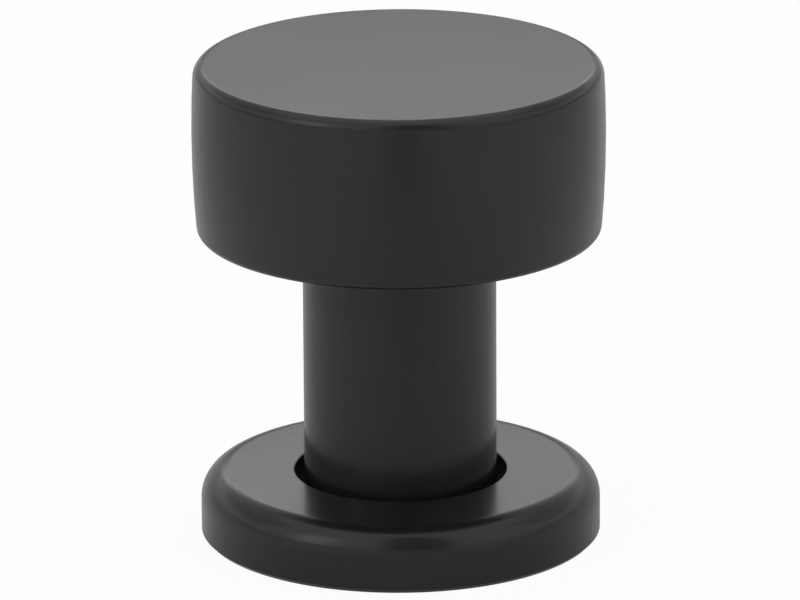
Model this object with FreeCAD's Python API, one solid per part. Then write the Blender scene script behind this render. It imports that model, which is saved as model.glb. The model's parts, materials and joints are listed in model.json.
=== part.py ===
import FreeCAD, Part

import math
import os

# A round cabinet knob on a separate round backplate. The knob is turned from one bar: a
# thick head with a faintly crowned grip and softened edges, on a straight stem that is
# tapped up its middle. The stem's foot stands in a shallow seat in the backplate, with a
# narrow gap all round it. A machine screw comes from behind the door, through the
# backplate's floor and into the stem, and clamps both pieces to the door.
#
# Millimetres. The origin is the middle of the backplate's back, the face that lies on the
# door, and +Z runs out along the knob's axis.

# Knob: the head
PROJECTION = 37.8          # door to the top of the head
HEAD_DIAMETER = 32.0       # at the widest level of the grip
HEAD_THICKNESS = 13.4
GRIP_CROWN_RADIUS = 90.0   # the grip bulges on this large radius
GRIP_WIDEST_LEVEL = 7.9    # above the head's underside
HEAD_TOP_ROUNDING = 0.9
HEAD_UNDER_ROUNDING = 0.6

# Knob: the stem
STEM_DIAMETER = 15.0
FOOT_CHAMFER = 0.3

# Knob: the blind hole, tapped M4 coarse
THREAD_DIAMETER = 4.0      # major
THREAD_PITCH = 0.7
THREAD_DEPTH = 13.0        # of full thread, from the stem's foot
DRILL_RUN_OUT = 3.0        # how far the drill went past the full thread
DRILL_POINT_ANGLE = 118.0
THREAD_LEAD_IN = 0.4       # 45 degree countersink at the mouth, per side

# Backplate
PLATE_DIAMETER = 31.1
PLATE_THICKNESS = 5.0
SHOULDER_RADIUS = 2.2      # the rounded front edge
BACK_EDGE_CHAMFER = 0.3
SEAT_DEPTH = 2.0           # how far the stem's foot is let into the plate
SEAT_GAP = 0.75            # between the stem and the wall of its seat, per side
SEAT_EDGE_CHAMFER = 0.15
SCREW_CLEARANCE = 0.25     # around the screw in the plate's floor, per side
SCREW_HOLE_CHAMFER = 0.3

head_top = PROJECTION
head_underside = head_top - HEAD_THICKNESS
stem_foot = PLATE_THICKNESS - SEAT_DEPTH
thread_end = stem_foot + THREAD_DEPTH
drill_end = thread_end + DRILL_RUN_OUT

stem_radius = STEM_DIAMETER / 2
thread_radius = THREAD_DIAMETER / 2
drill_radius = (THREAD_DIAMETER - THREAD_PITCH) / 2
plate_radius = PLATE_DIAMETER / 2
seat_radius = stem_radius + SEAT_GAP
screw_hole_radius = thread_radius + SCREW_CLEARANCE


def at(radius, height):
    """A point of a turned section, in the XZ plane."""
    return FreeCAD.Vector(radius, 0, height)


def lines(*points):
    """The straight edges of a section from each of these points to the next."""
    return [Part.makeLine(start, end) for start, end in zip(points, points[1:])]


def turned(edges):
    """The solid that this closed section sweeps out round the Z axis."""
    section = Part.Face(Part.Wire(edges))
    return section.revolve(at(0, 0), at(0, 1), 360)


def rings(solid, radius, height):
    """The circular edges of a turned solid at this radius and height."""
    close = 1e-4
    circles = [edge for edge in solid.Edges if isinstance(edge.Curve, Part.Circle)]
    return [
        edge for edge in circles
        if abs(edge.Curve.Radius - radius) < close
        and abs(edge.Curve.Center.z - height) < close
    ]


def head_rounding(rounding, end, into_head):
    """The arc that blends one flat end of the head into the crowned grip.

    It touches both, so its middle is one rounding in from the flat end and one rounding
    in from the crown. Its start, half-way and end points are given, flat end first.
    """
    widest = head_underside + GRIP_WIDEST_LEVEL
    crown_middle = at(HEAD_DIAMETER / 2 - GRIP_CROWN_RADIUS, widest)
    height = end + into_head * rounding
    reach = math.sqrt((GRIP_CROWN_RADIUS - rounding) ** 2 - (height - widest) ** 2)
    middle = at(crown_middle.x + reach, height)
    to_flat = at(0, -into_head)
    to_grip = (middle - crown_middle).normalize()
    half_way = (to_flat + to_grip).normalize()
    return [middle + direction * rounding for direction in (to_flat, half_way, to_grip)]


def knob():
    """Head and stem in one piece, tapped from the foot.

    The tapped stretch of the hole is at the thread's major diameter, and the rest is at
    the drill's, with the drill's cone at its end.
    """
    top = head_rounding(HEAD_TOP_ROUNDING, head_top, -1)
    under = head_rounding(HEAD_UNDER_ROUNDING, head_underside, 1)
    widest = at(HEAD_DIAMETER / 2, head_underside + GRIP_WIDEST_LEVEL)
    drill_point = drill_radius / math.tan(math.radians(DRILL_POINT_ANGLE / 2))
    thread_run_out = thread_radius - drill_radius

    head = [
        Part.Arc(*under).toShape(),
        Part.Arc(under[-1], widest, top[-1]).toShape(),
        Part.Arc(*reversed(top)).toShape(),
    ]
    top_and_hole = lines(
        top[0],
        at(0, head_top),
        at(0, drill_end + drill_point),
        at(drill_radius, drill_end),
        at(drill_radius, thread_end + thread_run_out),
        at(thread_radius, thread_end),
        at(thread_radius, stem_foot + THREAD_LEAD_IN),
        at(thread_radius + THREAD_LEAD_IN, stem_foot),
    )
    stem = lines(
        at(thread_radius + THREAD_LEAD_IN, stem_foot),
        at(stem_radius - FOOT_CHAMFER, stem_foot),
        at(stem_radius, stem_foot + FOOT_CHAMFER),
        at(stem_radius, head_underside),
        under[0],
    )
    return turned(head + top_and_hole + stem)


def backplate():
    """The round plate: a seat for the stem in front, and the screw's hole through its floor."""
    outline = lines(
        at(screw_hole_radius, 0),
        at(plate_radius, 0),
        at(plate_radius, PLATE_THICKNESS),
        at(seat_radius, PLATE_THICKNESS),
        at(seat_radius, stem_foot),
        at(screw_hole_radius, stem_foot),
        at(screw_hole_radius, 0),
    )
    plate = turned(outline)
    plate = plate.makeFillet(SHOULDER_RADIUS, rings(plate, plate_radius, PLATE_THICKNESS))
    plate = plate.makeChamfer(BACK_EDGE_CHAMFER, rings(plate, plate_radius, 0))
    plate = plate.makeChamfer(SEAT_EDGE_CHAMFER, rings(plate, seat_radius, PLATE_THICKNESS))
    return plate.makeChamfer(SCREW_HOLE_CHAMFER, rings(plate, screw_hole_radius, 0))


pieces = {
    "knob": knob(),
    "backplate": backplate(),
}

os.makedirs("parts", exist_ok=True)
for name, piece in pieces.items():
    piece.exportStep("parts/%s.step" % name)
    print(name, len(piece.Solids), "solid, valid", piece.isValid(), "volume %.1f mm3" % piece.Volume)
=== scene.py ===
import json
import math

import bmesh
import bpy
from mathutils import Matrix, Vector


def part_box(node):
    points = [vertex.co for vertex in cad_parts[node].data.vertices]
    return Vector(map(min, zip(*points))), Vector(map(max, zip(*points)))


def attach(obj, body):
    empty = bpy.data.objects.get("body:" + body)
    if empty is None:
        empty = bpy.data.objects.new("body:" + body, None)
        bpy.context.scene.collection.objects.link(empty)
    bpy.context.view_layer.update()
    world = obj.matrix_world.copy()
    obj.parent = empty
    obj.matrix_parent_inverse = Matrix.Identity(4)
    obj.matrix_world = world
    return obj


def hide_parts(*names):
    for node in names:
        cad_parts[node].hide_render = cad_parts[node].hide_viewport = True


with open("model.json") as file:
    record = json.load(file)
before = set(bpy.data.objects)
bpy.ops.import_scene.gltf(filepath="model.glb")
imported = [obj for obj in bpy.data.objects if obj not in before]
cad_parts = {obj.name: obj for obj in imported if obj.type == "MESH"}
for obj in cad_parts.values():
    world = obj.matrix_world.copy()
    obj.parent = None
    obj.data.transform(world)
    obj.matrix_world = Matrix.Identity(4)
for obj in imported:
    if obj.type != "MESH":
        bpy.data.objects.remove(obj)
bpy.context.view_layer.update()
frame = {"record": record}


# Backplate: a round plate turned from brass bar, with a rounded shoulder in front and a shallow
# seat for the stem's foot. It is faced flat on its back, lacquered satin black all over, and
# clamped between the knob and the door by the screw that goes through its floor.
MM = 0.001
mounts = {mount["name"]: mount for mount in frame["record"]["mounts"]}


def linear(hex_colour):
    """An sRGB hex colour as the linear RGBA that the shaders take."""
    channels = [int(hex_colour[i:i + 2], 16) / 255 for i in (1, 3, 5)]
    return [c / 12.92 if c <= 0.04045 else ((c + 0.055) / 1.055) ** 2.4 for c in channels] + [1.0]


def add(tree, kind, inputs=(), **settings):
    """A new node. inputs gives each socket, by name or number, its value or what feeds it."""
    node = tree.nodes.new(kind)
    for name, value in settings.items():
        setattr(node, name, value)
    for socket, value in dict(inputs).items():
        if isinstance(value, bpy.types.NodeSocket):
            tree.links.new(value, node.inputs[socket])
        else:
            node.inputs[socket].default_value = value
    return node


def bare_material(name):
    """A new material with no nodes in it yet, and its tree."""
    material = bpy.data.materials.new(name)
    material.use_nodes = True
    material.node_tree.nodes.clear()
    return material, material.node_tree


def per_metre(millimetres):
    """The texture scale that repeats a pattern at this real size."""
    return 1 / (millimetres * MM)


# Satin black lacquer, sprayed on turned brass and baked. The body colour is nearly black, and
# the skin over it has the sheen of a fine matting agent: it stays dark face on and turns grey
# where it meets the light at a low angle. A faint orange peel keeps its reflections soft.
LACQUER_BLACK = "#1d1a1d"
LACQUER_IOR = 1.43         # from a typical 1.5, matched to the photograph
LACQUER_ROUGHNESS = (0.21, 0.25)
SHEEN_DRIFT_MM = 9.0       # the patches in which the spray fell a little drier or wetter
ORANGE_PEEL_MM = 1.1
ORANGE_PEEL_HEIGHT_MM = 0.0012
FACING_PITCH_MM = 0.35     # coarser than the real feed marks of about 0.1, so that they show
FACING_HEIGHT_MM = 0.005
FACE_TOLERANCE_MM = 0.02   # how near the faced level a point counts as on the face
NOISE_SPREAD = (0.3, 0.7)  # where nearly all of a noise's values lie


def satin_lacquer(name, faced_level=None):
    """The lacquer. A face turned flat at faced_level, in mm, shows its rings through the coat."""
    material, tree = bare_material(name)
    place = add(tree, "ShaderNodeTexCoord").outputs["Object"]
    drift = add(tree, "ShaderNodeTexNoise", {
        "Vector": place, "Scale": per_metre(SHEEN_DRIFT_MM), "Detail": 3.0})
    roughness = add(tree, "ShaderNodeMapRange", {
        "Value": drift.outputs["Fac"], "From Min": NOISE_SPREAD[0], "From Max": NOISE_SPREAD[1],
        "To Min": LACQUER_ROUGHNESS[0], "To Max": LACQUER_ROUGHNESS[1]}, clamp=False)
    peel = add(tree, "ShaderNodeTexNoise", {
        "Vector": place, "Scale": per_metre(ORANGE_PEEL_MM), "Detail": 2.0, "Roughness": 0.4})
    normal = add(tree, "ShaderNodeBump", {
        "Height": peel.outputs["Fac"], "Distance": ORANGE_PEEL_HEIGHT_MM * MM}).outputs["Normal"]
    if faced_level is not None:
        axes = add(tree, "ShaderNodeSeparateXYZ", {"Vector": place})
        on_face = add(tree, "ShaderNodeMath", {
            0: axes.outputs["Z"], 1: faced_level * MM, 2: FACE_TOLERANCE_MM * MM},
            operation="COMPARE")
        # A wave texture of scale 1 draws 10 / pi rings to the metre.
        rings = add(tree, "ShaderNodeTexWave", {
            "Vector": place, "Scale": per_metre(FACING_PITCH_MM) * math.pi / 10},
            wave_type="RINGS", rings_direction="Z", wave_profile="SIN")
        height = add(tree, "ShaderNodeMath", {
            0: rings.outputs["Fac"], 1: on_face.outputs[0]}, operation="MULTIPLY")
        normal = add(tree, "ShaderNodeBump", {
            "Height": height.outputs[0], "Distance": FACING_HEIGHT_MM * MM,
            "Normal": normal}).outputs["Normal"]
    skin = add(tree, "ShaderNodeBsdfPrincipled", {
        "Base Color": linear(LACQUER_BLACK), "IOR": LACQUER_IOR,
        "Roughness": roughness.outputs["Result"], "Normal": normal})
    add(tree, "ShaderNodeOutputMaterial", {"Surface": skin.outputs["BSDF"]})
    return material


def geometry_tree(name, inputs):
    """An empty Geometry Nodes tree with these named inputs, and the sockets that give them."""
    tree = bpy.data.node_groups.new(name, "GeometryNodeTree")
    tree.interface.new_socket("Geometry", in_out="INPUT", socket_type="NodeSocketGeometry")
    tree.interface.new_socket("Geometry", in_out="OUTPUT", socket_type="NodeSocketGeometry")
    for label, kind in inputs.items():
        tree.interface.new_socket(label, in_out="INPUT", socket_type=kind)
    return tree, add(tree, "NodeGroupInput").outputs


# The lathe: a section drawn in X (radius) and -Y (height) is rounded at its corners, swept
# round a small circle about the axis, and closed where it reaches the axis.
SEGMENTS = 160
ROUNDING_STEPS = 12
SWEEP_RADIUS = 1.0
WELD_DISTANCE = 0.001
SHARP_ANGLE = math.radians(30)

lathe, given = geometry_tree("lathe", {
    "Segments": "NodeSocketInt", "Rounding steps": "NodeSocketInt",
    "Sweep radius": "NodeSocketFloat", "Weld distance": "NodeSocketFloat",
    "Sharp angle": "NodeSocketFloat", "Material": "NodeSocketMaterial"})
rounding = add(lathe, "GeometryNodeInputNamedAttribute", {"Name": "rounding"}, data_type="FLOAT")
section = add(lathe, "GeometryNodeMeshToCurve", {"Mesh": given["Geometry"]})
rounded = add(lathe, "GeometryNodeFilletCurve", {
    "Curve": section.outputs["Curve"], "Count": given["Rounding steps"],
    "Radius": rounding.outputs["Attribute"]}, mode="POLY")
circle = add(lathe, "GeometryNodeCurvePrimitiveCircle", {
    "Resolution": given["Segments"], "Radius": given["Sweep radius"]})
upright = add(lathe, "GeometryNodeSetCurveNormal", {
    "Curve": circle.outputs["Curve"]}, mode="Z_UP")
swept = add(lathe, "GeometryNodeCurveToMesh", {
    "Curve": upright.outputs["Curve"], "Profile Curve": rounded.outputs["Curve"]})
closed = add(lathe, "GeometryNodeMergeByDistance", {
    "Geometry": swept.outputs["Mesh"], "Distance": given["Weld distance"]})
smooth = add(lathe, "GeometryNodeSetShadeSmooth", {"Geometry": closed.outputs["Geometry"]})
bend = add(lathe, "GeometryNodeInputMeshEdgeAngle")
sharp = add(lathe, "FunctionNodeCompare", {
    0: bend.outputs["Unsigned Angle"], 1: given["Sharp angle"]}, operation="GREATER_THAN")
edged = add(lathe, "GeometryNodeSetShadeSmooth", {
    "Geometry": smooth.outputs["Geometry"], "Selection": sharp.outputs["Result"],
    "Shade Smooth": False}, domain="EDGE")
whole = add(lathe, "GeometryNodeRealizeInstances", {"Geometry": edged.outputs["Geometry"]})
coated = add(lathe, "GeometryNodeSetMaterial", {
    "Geometry": whole.outputs["Geometry"], "Material": given["Material"]})
add(lathe, "NodeGroupOutput", {"Geometry": coated.outputs["Geometry"]})


def use_tree(piece, tree, values):
    """Puts a tree on the piece, with its named inputs set by their identifiers."""
    modifier = piece.modifiers.new(tree.name, "NODES")
    modifier.node_group = tree
    for socket in tree.interface.items_tree:
        if socket.in_out == "INPUT" and socket.name in values:
            modifier[socket.identifier] = values[socket.name]


def turned_piece(name, corners, cyclic, coat):
    """A piece on the lathe, from its section's corners of (radius, height, rounding) in mm."""
    count = len(corners)
    edges = [(i, (i + 1) % count) for i in range(count if cyclic else count - 1)]
    mesh = bpy.data.meshes.new(name)
    mesh.from_pydata([((r - SWEEP_RADIUS) * MM, -z * MM, 0) for r, z, _ in corners], edges, [])
    rounding = mesh.attributes.new("rounding", "FLOAT", "POINT")
    rounding.data.foreach_set("value", [corner[2] * MM for corner in corners])
    piece = bpy.data.objects.new(name, mesh)
    bpy.context.scene.collection.objects.link(piece)
    use_tree(piece, lathe, {
        "Segments": SEGMENTS, "Rounding steps": ROUNDING_STEPS,
        "Sweep radius": SWEEP_RADIUS * MM, "Weld distance": WELD_DISTANCE * MM,
        "Sharp angle": SHARP_ANGLE, "Material": coat})
    return piece


def finish_mesh(piece):
    """Turns what the modifiers make into the piece's own mesh, with its flats shaded flat."""
    piece.modifiers.new("flat faces", "WEIGHTED_NORMAL").keep_sharp = True
    evaluated = piece.evaluated_get(bpy.context.evaluated_depsgraph_get())
    mesh = bpy.data.meshes.new_from_object(evaluated)
    piece.modifiers.clear()
    piece.data = mesh


plate_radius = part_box("backplate")[1].x / MM
plate_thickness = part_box("backplate")[1].z / MM
screw_hole = mounts["screw_hole"]["dims"]["r_mm"]
stem_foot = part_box("knob")[0].z / MM
SHOULDER = 2.2
BACK_EDGE = 0.3
SEAT_RADIUS = 8.25
SEAT_EDGE = 0.15
HOLE_EDGE = 0.3

backplate = turned_piece("backplate_turned", [
    (screw_hole, HOLE_EDGE, 0),
    (screw_hole, stem_foot, 0),
    (SEAT_RADIUS, stem_foot, 0),
    (SEAT_RADIUS, plate_thickness, SEAT_EDGE),
    (plate_radius, plate_thickness, SHOULDER),
    (plate_radius, BACK_EDGE, 0),
    (plate_radius - BACK_EDGE, 0, 0),
    (screw_hole + HOLE_EDGE, 0, 0),
], cyclic=True, coat=satin_lacquer("satin_black_lacquer_faced", faced_level=0.0))
finish_mesh(backplate)
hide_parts("backplate")
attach(backplate, "root")


# Knob: head and stem turned from one brass bar, with a faintly crowned grip and softened edges,
# and lacquered with the backplate. The stem is tapped once the lacquer has baked, so its thread
# is bare brass. The screw from behind the door pulls its foot down into the backplate's seat.
head_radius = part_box("knob")[1].x / MM
head_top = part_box("knob")[1].z / MM
HEAD_THICKNESS = 13.4
CROWN_RADIUS = 90.0
WIDEST_LEVEL = 7.9         # above the head's underside
CROWN_LEVELS = 5
TOP_ROUNDING = 0.9
UNDER_ROUNDING = 0.6
STEM_RADIUS = 7.5
NECK_FILLET = 0.25
FOOT_CHAMFER = 0.3

head_underside = head_top - HEAD_THICKNESS


def crown(height):
    """The grip's radius at this height."""
    rise = height - head_underside - WIDEST_LEVEL
    return head_radius - CROWN_RADIUS + math.sqrt(CROWN_RADIUS ** 2 - rise ** 2)


grip_levels = [head_top - HEAD_THICKNESS * i / CROWN_LEVELS for i in range(1, CROWN_LEVELS)]

# The hole in the stem: M4 thread, then the drill's run-out and point.
thread_radius = mounts["stem_thread"]["dims"]["r_mm"]
thread_start = mounts["stem_thread"]["pos_m"][2] / MM
thread_end = thread_start + mounts["stem_thread"]["dims"]["length_mm"]
THREAD_PITCH = 0.7
THREAD_RIDGE = 0.38        # five eighths of the sharp triangle's height
CREST_HALF_WIDTH = 1 / 8   # of a pitch
ROOT_FROM_CREST = 7 / 16   # of a pitch
ROWS_PER_PITCH = 10
HOLE_MARGIN = 0.5          # everything this near the hole's wall is cut by the tap
DRILL_RADIUS = 1.65
DRILL_RUN_OUT = 3.0
DRILL_POINT = 1.0

thread_rows = round((thread_end - thread_start) / THREAD_PITCH * ROWS_PER_PITCH)
thread_step = (thread_end - thread_start) / thread_rows

# Brass fresh from the tap: a warm yellow metal, bright, and broken up by the tool's fine marks.
BRASS = "#d8b56a"
BRASS_IN_MARKS = "#b8934e"
TOOL_MARKS_MM = 0.15
BRASS_ROUGHNESS = (0.25, 0.45)

tapped_brass, tree = bare_material("tapped_brass")
place = add(tree, "ShaderNodeTexCoord").outputs["Object"]
tool_marks = add(tree, "ShaderNodeTexNoise", {
    "Vector": place, "Scale": per_metre(TOOL_MARKS_MM), "Detail": 3.0})
cut_roughness = add(tree, "ShaderNodeMapRange", {
    "Value": tool_marks.outputs["Fac"],
    "To Min": BRASS_ROUGHNESS[0], "To Max": BRASS_ROUGHNESS[1]})
cut_colour = add(tree, "ShaderNodeMixRGB", {
    "Fac": tool_marks.outputs["Fac"],
    "Color1": linear(BRASS), "Color2": linear(BRASS_IN_MARKS)})
metal = add(tree, "ShaderNodeBsdfPrincipled", {
    "Base Color": cut_colour.outputs["Color"], "Metallic": 1.0,
    "Roughness": cut_roughness.outputs["Result"]})
add(tree, "ShaderNodeOutputMaterial", {"Surface": metal.outputs["BSDF"]})

# The tap: the wall of the hole is pressed inwards along a helix, to the form of an M4 thread,
# and fades out over one pitch at each end. Everything inside the hole is bare.
tap, given = geometry_tree("tap", {
    "Pitch": "NodeSocketFloat", "Ridge": "NodeSocketFloat", "Hole radius": "NodeSocketFloat",
    "Thread start": "NodeSocketFloat", "Thread end": "NodeSocketFloat",
    "Material": "NodeSocketMaterial"})
point = add(tap, "GeometryNodeInputPosition").outputs["Position"]
axes = add(tap, "ShaderNodeSeparateXYZ", {"Vector": point})
angle = add(tap, "ShaderNodeMath", {
    0: axes.outputs["Y"], 1: axes.outputs["X"]}, operation="ARCTAN2")
turn = add(tap, "ShaderNodeMath", {0: angle.outputs[0], 1: 2 * math.pi}, operation="DIVIDE")
climb = add(tap, "ShaderNodeMath", {
    0: axes.outputs["Z"], 1: given["Pitch"]}, operation="DIVIDE")
along = add(tap, "ShaderNodeMath", {
    0: climb.outputs[0], 1: turn.outputs[0]}, operation="SUBTRACT")
from_crest = add(tap, "ShaderNodeMath", {0: along.outputs[0], 1: 0.5}, operation="PINGPONG")
flank = add(tap, "ShaderNodeMapRange", {
    "Value": from_crest.outputs[0], "From Min": CREST_HALF_WIDTH, "From Max": ROOT_FROM_CREST,
    "To Min": given["Ridge"], "To Max": 0.0})
first_turn = add(tap, "ShaderNodeMath", {
    0: given["Thread start"], 1: given["Pitch"]}, operation="ADD")
last_turn = add(tap, "ShaderNodeMath", {
    0: given["Thread end"], 1: given["Pitch"]}, operation="SUBTRACT")
fade_in = add(tap, "ShaderNodeMapRange", {
    "Value": axes.outputs["Z"],
    "From Min": given["Thread start"], "From Max": first_turn.outputs[0]})
fade_out = add(tap, "ShaderNodeMapRange", {
    "Value": axes.outputs["Z"],
    "From Min": given["Thread end"], "From Max": last_turn.outputs[0]})
fade = add(tap, "ShaderNodeMath", {
    0: fade_in.outputs["Result"], 1: fade_out.outputs["Result"]}, operation="MULTIPLY")
ridge = add(tap, "ShaderNodeMath", {
    0: flank.outputs["Result"], 1: fade.outputs[0]}, operation="MULTIPLY")
across = add(tap, "ShaderNodeVectorMath", {0: point, 1: (1.0, 1.0, 0.0)}, operation="MULTIPLY")
radius = add(tap, "ShaderNodeVectorMath", {0: across.outputs["Vector"]}, operation="LENGTH")
outward = add(tap, "ShaderNodeVectorMath", {0: across.outputs["Vector"]}, operation="NORMALIZE")
inward = add(tap, "ShaderNodeMath", {0: ridge.outputs[0], 1: -1.0}, operation="MULTIPLY")
press = add(tap, "ShaderNodeVectorMath", {
    0: outward.outputs["Vector"], "Scale": inward.outputs[0]}, operation="SCALE")
in_hole = add(tap, "FunctionNodeCompare", {
    0: radius.outputs["Value"], 1: given["Hole radius"]}, operation="LESS_THAN")
tapped = add(tap, "GeometryNodeSetPosition", {
    "Geometry": given["Geometry"], "Selection": in_hole.outputs["Result"],
    "Offset": press.outputs["Vector"]})
whole = add(tap, "GeometryNodeRealizeInstances", {"Geometry": tapped.outputs["Geometry"]})
bared = add(tap, "GeometryNodeSetMaterial", {
    "Geometry": whole.outputs["Geometry"], "Selection": in_hole.outputs["Result"],
    "Material": given["Material"]})
add(tap, "NodeGroupOutput", {"Geometry": bared.outputs["Geometry"]})

knob = turned_piece("knob_turned", [
    (0, head_top, 0),
    (crown(head_top), head_top, TOP_ROUNDING),
    *[(crown(level), level, 0) for level in grip_levels],
    (crown(head_underside), head_underside, UNDER_ROUNDING),
    (STEM_RADIUS, head_underside, NECK_FILLET),
    (STEM_RADIUS, stem_foot + FOOT_CHAMFER, 0),
    (STEM_RADIUS - FOOT_CHAMFER, stem_foot, 0),
    (thread_radius + thread_start - stem_foot, stem_foot, 0),
    *[(thread_radius, thread_start + thread_step * row, 0) for row in range(thread_rows + 1)],
    (DRILL_RADIUS, thread_end + thread_radius - DRILL_RADIUS, 0),
    (DRILL_RADIUS, thread_end + DRILL_RUN_OUT, 0),
    (0, thread_end + DRILL_RUN_OUT + DRILL_POINT, 0),
], cyclic=False, coat=satin_lacquer("satin_black_lacquer"))
use_tree(knob, tap, {
    "Pitch": THREAD_PITCH * MM, "Ridge": THREAD_RIDGE * MM,
    "Hole radius": (thread_radius + HOLE_MARGIN) * MM,
    "Thread start": thread_start * MM, "Thread end": thread_end * MM,
    "Material": tapped_brass})
finish_mesh(knob)
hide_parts("knob")
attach(knob, "root")


# Floor: white paper, with painted shade in a greyer band behind the object and a painted dim
# strip in front for the camera's own shadow. The camera sees all of it as white, with a trace of
# the object's shadow. It is open under the backplate and clear from below, so that the back can
# be seen.
FLOOR_REACH = 3000.0
UNDER_PLATE = 1.0          # how far the paper reaches in under the plate's edge
FLOOR_SEGMENTS = 96
PAPER_WHITE = "#f3f3f3"
# painted shade: the greyer band on the paper behind the object
PAPER_PAINTED_SHADE = "#c6c6c6"
GREY_FROM, GREY_TO = -20.0, 80.0
GREY_ENDS, WHITE_AGAIN = 150.0, 260.0
STRIP_MIDDLE = 12.0
STRIP_INNER, STRIP_OUTER = 5.0, 65.0
STRIP_SHADE = 0.7
FAR_SHADE = 0.3
FAR_FROM, FAR_TO = -100.0, -170.0
WHITE_SEEN = 0.95          # by the camera and through glass; the rest is the paper as it is lit
WHITE_REFLECTED = 0.25     # less, because the lacquer shows the paper's shade beside the plate

floor_mesh = bmesh.new()
for circle_radius in (plate_radius - UNDER_PLATE, FLOOR_REACH):
    bmesh.ops.create_circle(floor_mesh, segments=FLOOR_SEGMENTS, radius=circle_radius * MM)
bmesh.ops.bridge_loops(floor_mesh, edges=floor_mesh.edges)
bmesh.ops.recalc_face_normals(floor_mesh, faces=floor_mesh.faces)
if floor_mesh.faces[:][0].normal.z < 0:
    bmesh.ops.reverse_faces(floor_mesh, faces=floor_mesh.faces)
floor = bpy.data.objects.new("floor", bpy.data.meshes.new("floor"))
floor_mesh.to_mesh(floor.data)
floor_mesh.free()
bpy.context.scene.collection.objects.link(floor)

# Background paper, matt and white where nothing shades it, with painted shade behind and in front.
paper_with_painted_shade, tree = bare_material("paper_with_painted_shade")
place = add(tree, "ShaderNodeTexCoord").outputs["Object"]
axes = add(tree, "ShaderNodeSeparateXYZ", {"Vector": place})
# painted shade: greyer in a band behind the object
grade = add(tree, "ShaderNodeMapRange", {
    "Value": axes.outputs["Y"], "From Min": GREY_FROM * MM, "From Max": GREY_TO * MM},
    interpolation_type="SMOOTHSTEP")
beyond = add(tree, "ShaderNodeMapRange", {
    "Value": axes.outputs["Y"], "From Min": WHITE_AGAIN * MM, "From Max": GREY_ENDS * MM},
    interpolation_type="SMOOTHSTEP")
band = add(tree, "ShaderNodeMath", {
    0: grade.outputs["Result"], 1: beyond.outputs["Result"]}, operation="MULTIPLY")
painted_band = add(tree, "ShaderNodeMixRGB", {
    "Fac": band.outputs[0], "Color1": linear(PAPER_WHITE), "Color2": linear(PAPER_PAINTED_SHADE)})
# painted shadow: a dim strip in front, darker still farther off, for the camera's own shadow
aside = add(tree, "ShaderNodeMath", {
    0: axes.outputs["X"], 1: STRIP_MIDDLE * MM}, operation="SUBTRACT")
from_middle = add(tree, "ShaderNodeMath", {0: aside.outputs[0]}, operation="ABSOLUTE")
nearness = add(tree, "ShaderNodeMapRange", {
    "Value": axes.outputs["Y"], "From Min": FAR_TO * MM, "From Max": FAR_FROM * MM,
    "To Min": FAR_SHADE, "To Max": STRIP_SHADE}, interpolation_type="SMOOTHSTEP")
strip = add(tree, "ShaderNodeMapRange", {
    "Value": from_middle.outputs[0], "From Min": STRIP_INNER * MM, "From Max": STRIP_OUTER * MM,
    "To Min": nearness.outputs["Result"], "To Max": 1.0}, interpolation_type="SMOOTHSTEP")
shaded = add(tree, "ShaderNodeMixRGB", {
    "Fac": 1.0, "Color1": painted_band.outputs["Color"], "Color2": strip.outputs["Result"]},
    blend_type="MULTIPLY")
ray = add(tree, "ShaderNodeLightPath").outputs
direct = add(tree, "ShaderNodeMath", {
    0: ray["Is Camera Ray"], 1: ray["Is Transmission Ray"]}, operation="MAXIMUM")
sheet_colour = add(tree, "ShaderNodeMixRGB", {
    "Fac": direct.outputs[0], "Color1": shaded.outputs["Color"], "Color2": linear(PAPER_WHITE)})
sheet = add(tree, "ShaderNodeBsdfDiffuse", {"Color": sheet_colour.outputs["Color"]})
white = add(tree, "ShaderNodeEmission", {"Color": linear("#ffffff"), "Strength": 1.0})
seen = add(tree, "ShaderNodeMath", {
    0: direct.outputs[0], 1: WHITE_SEEN}, operation="MULTIPLY")
reflected = add(tree, "ShaderNodeMath", {
    0: ray["Is Glossy Ray"], 1: WHITE_REFLECTED}, operation="MULTIPLY")
white_share = add(tree, "ShaderNodeMath", {
    0: seen.outputs[0], 1: reflected.outputs[0]}, operation="MAXIMUM")
top_side = add(tree, "ShaderNodeMixShader", {
    0: white_share.outputs[0], 1: sheet.outputs["BSDF"], 2: white.outputs["Emission"]})
clear = add(tree, "ShaderNodeBsdfTransparent")
side = add(tree, "ShaderNodeNewGeometry")
either_side = add(tree, "ShaderNodeMixShader", {
    0: side.outputs["Backfacing"], 1: top_side.outputs["Shader"], 2: clear.outputs["BSDF"]})
add(tree, "ShaderNodeOutputMaterial", {"Surface": either_side.outputs["Shader"]})
floor.data.materials.append(paper_with_painted_shade)


# Studio: a white cloth tent, lit evenly from outside, with painted shade on it: greyer cloth at
# the back, and a grey panel in the dim opening that the camera looks in by. Of the two soft
# boxes, the wide one behind is the brighter, and has a flag under it. The camera doesn't see the
# panels: they only shape what the lacquer mirrors.
TENT_RADIUS = 3000.0
FLAG_RADIUS = 2900.0
GRADE_FROM, GRADE_TO = -0.7, 0.3   # of the tent's radius, from front to back
PANEL_ROWS = 6

world = bpy.data.worlds.new("white_tent")
world.use_nodes = True
bpy.context.scene.world = world
tree = world.node_tree
tree.nodes.clear()
light = add(tree, "ShaderNodeBackground", {"Color": linear("#ffffff"), "Strength": 1.0})
add(tree, "ShaderNodeOutputWorld", {"Surface": light.outputs["Background"]})


def toward(azimuth, elevation):
    """The direction from the object, in degrees. Azimuth 0 is behind it and 90 on its right."""
    turn = math.radians(azimuth)
    lift = math.radians(elevation)
    return Vector((math.sin(turn) * math.cos(lift), math.cos(turn) * math.cos(lift), math.sin(lift)))


def spread(ends, steps):
    """Evenly spaced values from one end to the other."""
    return [ends[0] + (ends[1] - ends[0]) * i / steps for i in range(steps + 1)]


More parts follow.
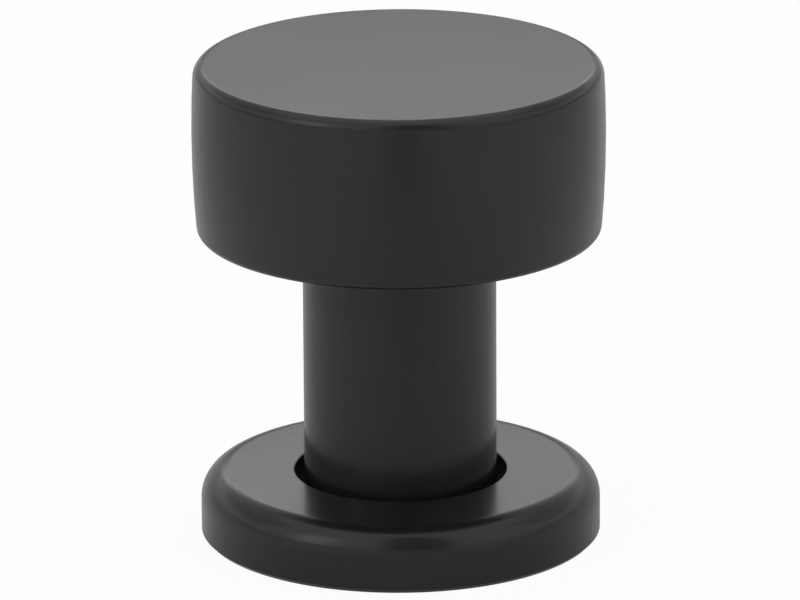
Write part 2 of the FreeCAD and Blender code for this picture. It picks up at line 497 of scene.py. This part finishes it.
def cloth(name, azimuths, elevations, colour_or_shade, back_shade=None, radius=TENT_RADIUS, columns=36):
    """A panel of the tent between these azimuths and elevations, unseen by the camera.

    It is matt cloth of one colour, on some panels painted shade, or painted greyer towards the back.
    """
    points = [
        toward(azimuth, elevation) * radius * MM
        for elevation in spread(elevations, PANEL_ROWS) for azimuth in spread(azimuths, columns)]
    row = columns + 1
    starts = [row * j + i for j in range(PANEL_ROWS) for i in range(columns)]
    mesh = bpy.data.meshes.new(name)
    mesh.from_pydata(points, [], [(s, s + 1, s + row + 1, s + row) for s in starts])
    panel = bpy.data.objects.new(name, mesh)
    bpy.context.scene.collection.objects.link(panel)
    material, tree = bare_material(name)
    weave = add(tree, "ShaderNodeBsdfDiffuse", {"Color": linear(colour_or_shade)})
    # painted shade: the cloth goes greyer towards the back
    if back_shade:
        place = add(tree, "ShaderNodeTexCoord").outputs["Object"]
        axes = add(tree, "ShaderNodeSeparateXYZ", {"Vector": place})
        depth = add(tree, "ShaderNodeMapRange", {
            "Value": axes.outputs["Y"], "From Min": GRADE_FROM * TENT_RADIUS * MM,
            "From Max": GRADE_TO * TENT_RADIUS * MM}, interpolation_type="SMOOTHSTEP")
        graded = add(tree, "ShaderNodeMixRGB", {
            "Fac": depth.outputs["Result"], "Color1": linear(colour_or_shade), "Color2": linear(back_shade)})
        tree.links.new(graded.outputs["Color"], weave.inputs["Color"])
    add(tree, "ShaderNodeOutputMaterial", {"Surface": weave.outputs["BSDF"]})
    mesh.materials.append(material)
    panel.visible_camera = False


def soft_box(name, azimuth, elevation, distance, size, radiance):
    """A lamp of this width and height, aimed at the middle of the object."""
    lamp = bpy.data.lights.new(name, "AREA")
    lamp.shape = "RECTANGLE"
    lamp.size = size[0] * MM
    lamp.size_y = size[1] * MM
    lamp.energy = radiance * math.pi * lamp.size * lamp.size_y
    holder = bpy.data.objects.new(name, lamp)
    bpy.context.scene.collection.objects.link(holder)
    way = toward(azimuth, elevation)
    holder.location = Vector((0, 0, head_top / 2 * MM)) + way * distance * MM
    holder.rotation_euler = way.to_track_quat("Z", "Y").to_euler()


# painted shade: the skirt's greyer back, the grey back panel and the grey opening panel
cloth("tent_skirt", (-180, 180), (0, 17.5), colour_or_shade="#f8f8f8", back_shade="#f0f0f0", columns=72)
cloth("tent_back", (-85, 85), (26, 52), colour_or_shade="#e4e4e4")
cloth("tent_opening", (148, 190), (17.5, 72), colour_or_shade="#9c9c9c")
cloth("soft_box_flag", (-8, 8), (7, 17.8), colour_or_shade="#949494", radius=FLAG_RADIUS)
soft_box("behind", azimuth=0, elevation=21, distance=2850, size=(1200, 250), radiance=1.8)
soft_box("left_shoulder", azimuth=-125, elevation=33, distance=2900, size=(1000, 1500), radiance=1.05)


# Camera: where the photograph was taken from, about 755 mm off and a little above, with a long
# lens. It was found by fitting the outlines of the head, the stem and the backplate.
CAMERA_DISTANCE = 756.1
CAMERA_ELEVATION = math.radians(17.789)
CAMERA_ROLL = math.radians(-0.318)
AIM = Vector((0.0, 0.0, 19.0)) * MM
FOCAL_PIXELS = 9750.1
PRINCIPAL_POINT = (399.596, 296.119)
FRAME_WIDTH, FRAME_HEIGHT = 800, 600

camera_data = bpy.data.cameras.new("camera")
camera_data.sensor_width = 36.0
camera_data.lens = FOCAL_PIXELS * camera_data.sensor_width / FRAME_WIDTH
camera_data.shift_x = (FRAME_WIDTH / 2 - PRINCIPAL_POINT[0]) / FRAME_WIDTH
camera_data.shift_y = (PRINCIPAL_POINT[1] - FRAME_HEIGHT / 2) / FRAME_WIDTH
camera_data.clip_start = 0.01
camera = bpy.data.objects.new("camera", camera_data)
bpy.context.scene.collection.objects.link(camera)
back = Vector((0, -math.cos(CAMERA_ELEVATION), math.sin(CAMERA_ELEVATION)))
camera.matrix_world = (
    Matrix.Translation(AIM + back * CAMERA_DISTANCE * MM)
    @ Matrix.Rotation(math.pi / 2 - CAMERA_ELEVATION, 4, "X")
    @ Matrix.Rotation(CAMERA_ROLL, 4, "Z")
)
bpy.context.scene.camera = camera
bpy.context.scene.view_settings.view_transform = "Standard"
